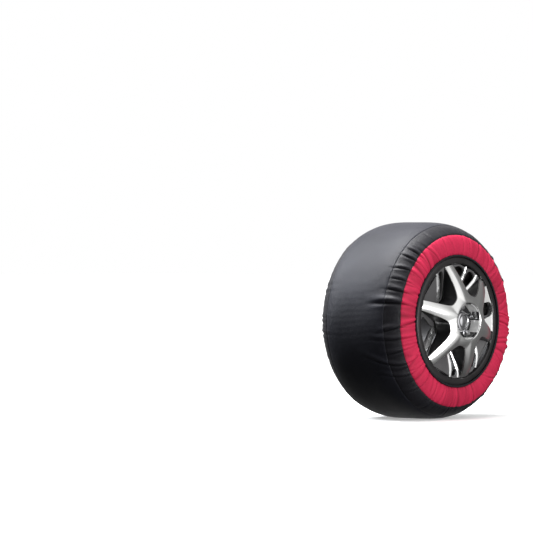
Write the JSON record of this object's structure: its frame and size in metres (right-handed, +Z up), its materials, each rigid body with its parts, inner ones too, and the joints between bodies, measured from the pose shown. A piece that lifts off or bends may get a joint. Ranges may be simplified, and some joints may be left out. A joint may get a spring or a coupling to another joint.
{
  "type": "snow sock on a car wheel",
  "caption": "Textile snow sock with a ribbed black tread band, gathered shoulders and a red outboard side panel, fitted over a passenger-car tyre on a spoked alloy wheel.",
  "frame": {"origin": "centre of the whole object's footprint on the ground, under the middle of its width", "axes": "+Z up, the axle along Y with the outboard (red) face towards -Y, +X to the right as seen from outboard"},
  "size_m": [0.64, 0.3962, 0.6365],
  "materials": {
    "tread_fabric": "black woven polyester with a satin face and fine cross ribs",
    "shoulder_fabric": "black stretch polyester, gathered",
    "red_fabric": "crimson stretch polyester, gathered in radial pleats",
    "seam_tape": "black woven binding",
    "elastic": "covered elastic strip",
    "tyre_rubber": "matt black rubber",
    "dark_rim_metal": "anthracite painted alloy, satin",
    "silver_alloy": "bright silver lacquered alloy",
    "insert_grey": "dark grey satin plastic with bright edges",
    "bolt_steel": "zinc-plated steel",
    "cap_chrome": "bright chrome",
    "ring_nylon": "grey nylon",
    "weight_zinc": "grey coated zinc",
    "valve_rubber": "black rubber",
    "valve_brass": "nickel-plated brass pin",
    "valve_cap_plastic": "black moulded plastic"
  },
  "bodies": {
    "wheel": {"tyre": "tyre_rubber", "rim_barrel": "dark_rim_metal", "wheel_centre": "silver_alloy", "window_insert_1": "insert_grey", "window_insert_2": "insert_grey", "window_insert_3": "insert_grey", "window_insert_4": "insert_grey", "window_insert_5": "insert_grey", "window_insert_6": "insert_grey", "wheel_bolt_1": "bolt_steel", "wheel_bolt_2": "bolt_steel", "wheel_bolt_3": "bolt_steel", "wheel_bolt_4": "bolt_steel", "wheel_bolt_5": "bolt_steel", "centring_ring": "ring_nylon", "balance_weight": "weight_zinc", "valve_stem": "valve_rubber"},
    "sock": {"sock_tread_band": "tread_fabric", "sock_outer_shoulder": "shoulder_fabric", "sock_outer_side_panel": "red_fabric", "sock_outer_tread_seam_tape": "seam_tape", "sock_outer_panel_seam_tape": "seam_tape", "sock_outer_hem": "seam_tape", "sock_outer_elastic": "elastic", "sock_inner_shoulder": "shoulder_fabric", "sock_inner_side_panel": "shoulder_fabric", "sock_inner_tread_seam_tape": "seam_tape", "sock_inner_panel_seam_tape": "seam_tape", "sock_inner_hem": "seam_tape", "sock_inner_elastic": "elastic"},
    "centre_cap": {"centre_cap": "cap_chrome"},
    "valve_core": {"valve_core": "valve_brass"},
    "valve_cap": {"valve_cap": "valve_cap_plastic"}
  },
  "joints": [
    {"name": "sock_creep", "type": "hinge", "parent": "wheel", "child": "sock", "pos_m": [0, 0.0238, 0.3165], "axis": [0, 1, 0], "continuous": true},
    {"name": "centre_cap_pull", "type": "slide", "parent": "wheel", "child": "centre_cap", "axis": [0, -1, 0], "range_m": [0, 0.03]},
    {"name": "valve_cap_unscrew", "type": "slide", "parent": "wheel", "child": "valve_cap", "axis": [0, -1, 0], "range_m": [0, 0.014]},
    {"name": "valve_core_press", "type": "slide", "parent": "wheel", "child": "valve_core", "axis": [0, 1, 0], "range_m": [0, 0.0015], "stiffness_N_per_m": 2000, "springref_m": -0.0005}
  ]
}
